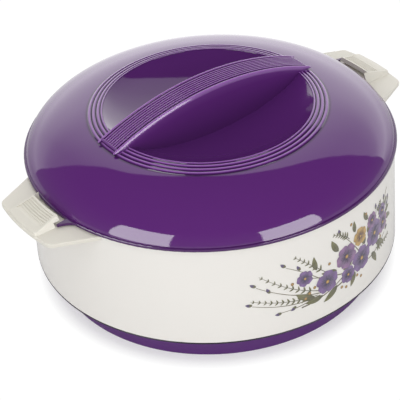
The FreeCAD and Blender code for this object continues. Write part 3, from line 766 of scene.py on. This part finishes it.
def bowed(foot, direction, length, sag=plants["leafSag"]):
    # a spine that leaves its foot in a direction and bends a little to one side
    ahead = Vector((math.cos(math.radians(direction)), math.sin(math.radians(direction))))
    aside = Vector((-ahead.y, ahead.x))
    foot = Vector(foot)
    return curve(foot, foot + ahead * 0.5 * length + aside * sag * length, foot + ahead * length)


# Widths along a strip: a leaf is pointed at both ends, a stem narrows, a petal is widest past its middle

def leafWidth(width):
    return lambda share: 0.1 + width * math.sin(math.pi * min(share, 1.0) ** 0.8) ** 0.85


def stemWidth(width):
    return lambda share: width * (1.0 - 0.55 * share)


def petalWidth(width):
    def at(share):
        swell = math.sin(math.pi * min(0.08 + 0.86 * share, 1.0) ** 1.6) ** 0.6
        return 0.25 * width + 0.75 * width * swell
    return at


def violet(mesh, along, up, size, turn, tip):
    middle = (along, up)
    deep = "petalBrown" if tip == "petalGold" else "petalDeep"
    for petal in range(plants["petals"]):
        direction = turn + 360 * petal / plants["petals"]
        strip(mesh, "petal", bowed(middle, direction, size, plants["petalSag"]), petalWidth(size), petal,
              (deep, tip))
        for side in plants["veinTurns"]:
            vein = bowed(middle, direction + side, plants["veinLength"] * size, plants["petalSag"])
            strip(mesh, "vein", vein, stemWidth(plants["veinWidth"] * size), petal, ("bud", deep))
    spot(mesh, "heart", middle, plants["heart"] * size)


def leaf(mesh, along, up, direction, length, width):
    spine = bowed((along, up), direction, length)
    strip(mesh, "leaf", spine, leafWidth(width))
    strip(mesh, "leafRib", spine, stemWidth(plants["leafRib"]))


def frond(mesh, start, bend, end, pairs):
    spine = curve(start, bend, end)
    strip(mesh, "frond", spine, stemWidth(plants["frond"]))
    for pair in range(pairs):
        share = plants["frondStart"] + plants["frondRun"] * pair / (pairs - 1)
        ahead, rise = heading(spine, share, plants["frondStep"])
        size = plants["leaflet"] * (1 - plants["leafletFade"] * share)
        for side in (-1, 1):
            direction = math.degrees(math.atan2(rise, ahead)) + side * plants["leafletTurn"]
            leaflet = bowed(spine(share), direction, size, -plants["leafletSag"] * side)
            strip(mesh, "leaflet", leaflet, leafWidth(plants["leafletWidth"] * size))


def bud(mesh, along, up, direction):
    length, width = plants["bud"]
    strip(mesh, "bud", bowed((along, up), direction, length), leafWidth(width))
    length, width = plants["calyx"]
    for side in (-1, 1):
        spine = bowed((along, up), direction + side * plants["calyxTurn"], length)
        strip(mesh, "calyx", spine, leafWidth(width))


def inkFinish():
    material, wire = newMaterial("printInk")
    ink = wire.add("ShaderNodeAttribute", {"attribute_name": "ink"})
    place = wire.object()
    wash = place.noise(*inkNoise["wash"]).spread(*inkWash)
    speck = place.noise(*inkNoise["speck"]).spread(*inkGloss)
    finishMaterial(wire, wash.blend(ink, plastics["creamGloss"]["colour"]), Roughness=speck)
    return material


def casingPrint():
    mesh = bmesh.new()
    mesh.verts.layers.float_color.new("ink")
    for start, bend, end, width in stems:
        strip(mesh, "stem", curve(start, bend, end), stemWidth(width))
    for grow, places in ((leaf, leaves), (frond, fronds), (bud, buds), (violet, violets)):
        for place in places:
            grow(mesh, *place)
    for place in berries:
        spot(mesh, "berry", place, plants["berry"])
    sheet = bmesh.ops.extrude_face_region(mesh, geom=mesh.faces[:])["geom"]
    for vert in sheet:
        if isinstance(vert, bmesh.types.BMVert):
            out = Vector((vert.co.x, vert.co.y, 0)).normalized()
            vert.co += out * printPlace["thick"]
    bmesh.ops.recalc_face_normals(mesh, faces=mesh.faces[:])
    piece = fromMesh(mesh, "casingPrint", inkFinish())
    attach(piece, "body")


casingPrint()
print("casing printed")


# Studio

studio = {
    "floorSize": 6.0,
    "floorBounce": (0.86, 0.86, 0.86, 1.0),
    # share of plain white in what the camera sees of the floor, by the distance from the middle
    "floorGlow": ((0.112, 0.4), (0.117, 0.47), (0.1205, 0.64), (0.1231, 0.76), (0.127, 1.0)),
    "floorWhite": 1.03,
    "daylight": 0.76,           # light of the world on the object
    "reflectedHigh": 0.03,      # what gloss reflects overhead
    "reflectedLow": 0.3,        # and near the floor
    "reflectedLevel": 0.75,     # sine of the height at which overhead begins
    "backdropDistance": 0.295,
    # its upper edge: place across, height
    "backdropEdge": ((-0.6, 0.1), (-0.595, 0.3), (-0.52, 0.43), (-0.41, 0.49), (-0.3, 0.523), (-0.22, 0.525),
                     (-0.165, 0.556), (-0.1, 0.543), (-0.03, 0.52), (0.05, 0.553), (0.14, 0.58),
                     (0.38, 0.583), (0.56, 0.54), (0.71, 0.41), (0.755, 0.13)),
    "backdropGlow": 2.7,
    # share of the glow by height, and across
    "backdropRise": ((0.0, 0.4), (0.1, 0.7), (0.15, 0.98), (0.2, 0.93), (0.27, 0.86), (0.33, 0.64),
                     (0.41, 0.52), (0.58, 0.48)),
    "backdropSpan": ((-0.6, 0.62), (-0.33, 0.62), (-0.2, 0.84), (-0.08, 0.98), (0.12, 0.98), (0.3, 0.84),
                     (0.755, 0.9)),
    "backdropFoot": -0.01,
    "backdropSteps": 60,
    "boxDistance": 0.9,
    "boxGlow": 7.8,
    "boxRound": 0.07,
    "boxRoundSteps": 5,
    "boxes": ((-104.5, 0.54, 0.02, 0.74), (174.0, 0.54, 0.0, 0.61)),   # bearing, width, bottom, top
}
# bearing, height over the floor, distance, power, size
lamps = {
    "key": (-145.0, 0.62, 1.3, 4.4, 0.9),
    "overhead": (-129.0, 1.6, 0.64, 3.4, 1.2),
}
# the camera, in metres and degrees, its lens in millimetres
view = {
    "target": (0.00095, -0.00065, 0.0611),
    "distance": 0.9986,
    "azimuth": -34.6,
    "elevation": 35.12,
    "roll": -3.57,
    "lens": 131.05,
    "shift": (-0.0352, -0.0573),
}


def bearing(angle):
    # level direction, measured from +Y towards +X
    turn = math.radians(angle)
    return Vector((math.sin(turn), math.cos(turn), 0))


def newPanel(mesh, name, material):
    # a glowing panel that only gloss sees
    panel = fromMesh(mesh, name, material)
    panel.visible_camera = False
    panel.visible_diffuse = False
    panel.visible_shadow = False


def shares(value, stops):
    # a share that follows a value from stop to stop
    low, high = stops[0][0], stops[-1][0]
    greys = [((place - low) / (high - low), (share, share, share, 1)) for place, share in stops]
    return value.between(low, high, 0, 1).ramp(*greys)


def edgeLevel(place):
    # height of the backdrop's upper edge
    stops = studio["backdropEdge"]
    for (left, low), (right, high) in zip(stops, stops[1:]):
        if place <= right:
            break
    return low + (high - low) * (place - left) / (right - left)


def backdrop():
    # an upright sheet behind the object, as the camera sees it
    forward = bearing(-view["azimuth"])
    across = Vector((forward.y, -forward.x, 0))
    left, right = studio["backdropEdge"][0][0], studio["backdropEdge"][-1][0]
    mesh = bmesh.new()
    sheet = bmesh.ops.create_grid(mesh, x_segments=studio["backdropSteps"], y_segments=1, size=0.5)
    for vert in sheet["verts"]:
        place = left + (right - left) * (vert.co.x + 0.5)
        level = edgeLevel(place) if vert.co.y > 0 else studio["backdropFoot"]
        vert.co = forward * studio["backdropDistance"] + across * place + Vector((0, 0, level))
    material, wire = newMaterial("backdrop")
    here = wire.object()
    place = wire.add("ShaderNodeVectorMath", {"operation": "DOT_PRODUCT"}, {0: here, 1: across}, "Value")
    rise = shares(here.axis("Z"), studio["backdropRise"])
    finishGlow(wire, studio["backdropGlow"] * rise * shares(place, studio["backdropSpan"]))
    newPanel(mesh, "backdrop", material)


def softbox(name, angle, width, low, high, outer):
    # an upright panel that faces the middle, its outer corners rounded
    facing = bearing(angle)
    across = Vector((facing.y, -facing.x, 0))
    mesh = bmesh.new()
    corners = []
    for vert in bmesh.ops.create_grid(mesh, x_segments=1, y_segments=1, size=0.5)["verts"]:
        if vert.co.x * outer > 0:
            corners.append(vert)
        level = low if vert.co.y < 0 else high
        vert.co = facing * studio["boxDistance"] + across * vert.co.x * width + Vector((0, 0, level))
    bmesh.ops.bevel(mesh, geom=corners, affect="VERTICES", offset=studio["boxRound"],
                    segments=studio["boxRoundSteps"], profile=0.5, material=-1)
    material, wire = newMaterial(name)
    finishGlow(wire, studio["boxGlow"])
    newPanel(mesh, name, material)


def floor():
    mesh = bmesh.new()
    bmesh.ops.create_grid(mesh, x_segments=1, y_segments=1, size=0.5 * studio["floorSize"])
    material, wire = newMaterial("floor")
    seen = wire.add("ShaderNodeLightPath", output="Is Camera Ray")
    distance = wire.add("ShaderNodeVectorMath", {"operation": "LENGTH"}, {0: wire.object()}, "Value")
    colour = seen.blend(studio["floorBounce"], (1, 1, 1, 1))
    matt = wire.add("ShaderNodeBsdfDiffuse", inputs={"Color": colour})
    white = wire.add("ShaderNodeEmission", inputs={"Strength": studio["floorWhite"]})
    glow = seen * shares(distance, studio["floorGlow"])
    surface = wire.add("ShaderNodeMixShader", inputs={"Fac": glow, 1: matt, 2: white})
    wire.add("ShaderNodeOutputMaterial", inputs={"Surface": surface})
    fromMesh(mesh, "floor", material)


def sky():
    # white to the camera, daylight to the object, and greys to its gloss
    world = bpy.data.worlds.new("studio")
    world.use_nodes = True
    world.node_tree.nodes.clear()
    bpy.context.scene.world = world
    wire = Wire(world.node_tree)
    seen = wire.add("ShaderNodeLightPath", output="Is Camera Ray")
    mirrored = wire.add("ShaderNodeLightPath", output="Is Glossy Ray")
    height = wire.add("ShaderNodeTexCoord", output="Generated").axis("Z")
    low, high, day = studio["reflectedLow"], studio["reflectedHigh"], studio["daylight"]
    reflected = height.ramp((0.0, (low, low, low, 1)), (studio["reflectedLevel"], (high, high, high, 1)))
    colour = seen.blend(mirrored.blend((day, day, day, 1), reflected), (1, 1, 1, 1))
    light = wire.add("ShaderNodeBackground", inputs={"Color": colour})
    wire.add("ShaderNodeOutputWorld", inputs={"Surface": light})


def lamp(name, angle, height, distance, power, size):
    # a round lamp that points at the middle
    light = bpy.data.lights.new(name, "AREA")
    light.shape = "DISK"
    light.size = size
    light.energy = power
    holder = newObject(name, light)
    place = bearing(angle) * distance + Vector((0, 0, height))
    holder.matrix_world = Matrix.Translation(place) @ place.to_track_quat("Z", "Y").to_matrix().to_4x4()
    holder.visible_camera = False
    holder.visible_glossy = False


def camera():
    back = bearing(-view["azimuth"]) * -math.cos(math.radians(view["elevation"]))
    back.z = math.sin(math.radians(view["elevation"]))
    roll = Matrix.Rotation(math.radians(view["roll"]), 4, "Z")
    turn = (-back).to_track_quat("-Z", "Y").to_matrix().to_4x4() @ roll
    lens = bpy.data.cameras.new("camera")
    lens.lens = view["lens"]
    lens.shift_x, lens.shift_y = view["shift"]
    eye = newObject("camera", lens)
    eye.matrix_world = Matrix.Translation(Vector(view["target"]) + back * view["distance"]) @ turn
    bpy.context.scene.camera = eye


sky()
for name, values in lamps.items():
    lamp(name, *values)
floor()
backdrop()
for number, box in enumerate(studio["boxes"]):
    softbox("softbox" + str(number), *box, 1 - 2 * number)
camera()
bpy.context.scene.view_settings.view_transform = "Standard"
print("studio ready")
